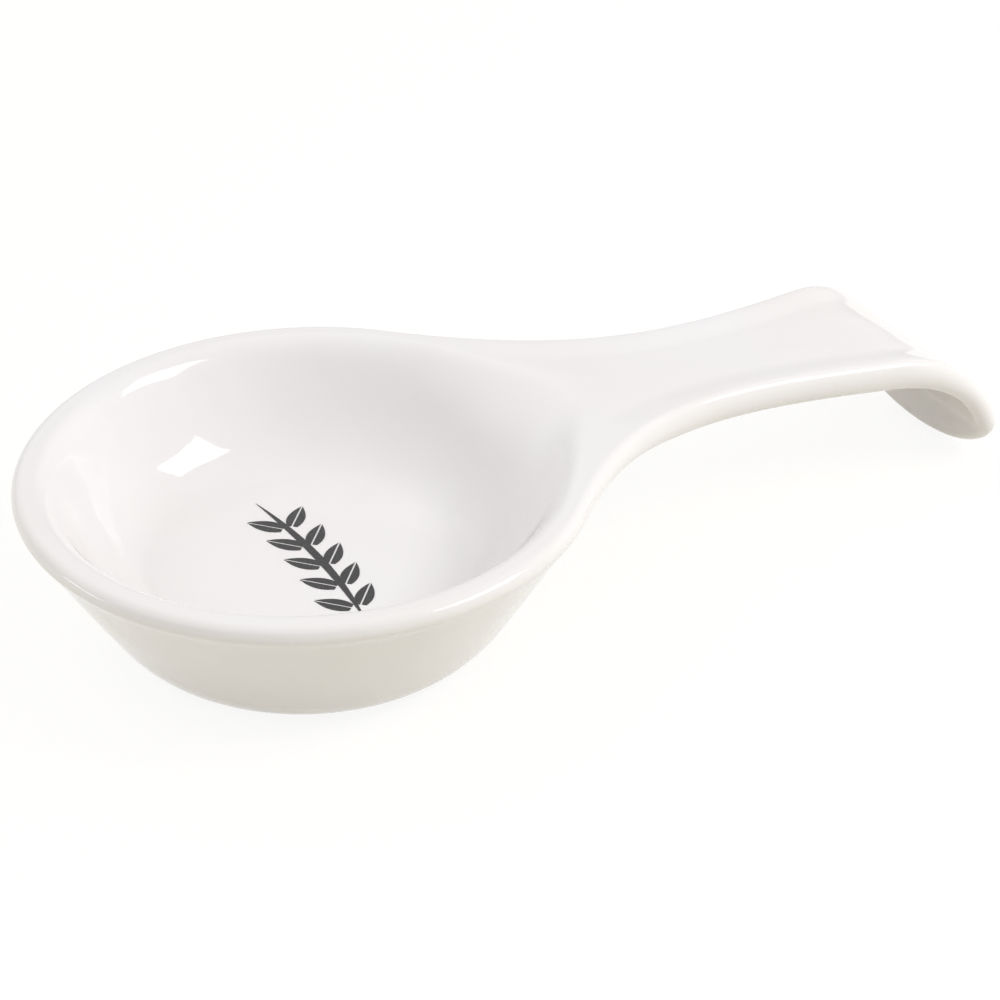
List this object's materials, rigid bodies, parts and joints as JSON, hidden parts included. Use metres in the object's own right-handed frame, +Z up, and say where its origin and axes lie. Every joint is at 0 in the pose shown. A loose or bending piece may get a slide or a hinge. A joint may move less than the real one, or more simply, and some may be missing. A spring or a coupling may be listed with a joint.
{
  "type": "spoon rest",
  "caption": "Glazed ceramic spoon rest: a round bowl with a rolled rim and a channelled handle whose end turns down to stand on the table.",
  "frame": {"origin": "on the table, under the middle of the part's length and width", "axes": "+X from the bowl along the handle to the lip, +Z up"},
  "size_m": [0.2262, 0.12, 0.0377],
  "materials": {
    "white_glaze": "gloss",
    "print_ink": "satin"
  },
  "bodies": {
    "root": {"ceramic_body": "white_glaze", "floor_motif": "print_ink"}
  },
  "joints": []
}
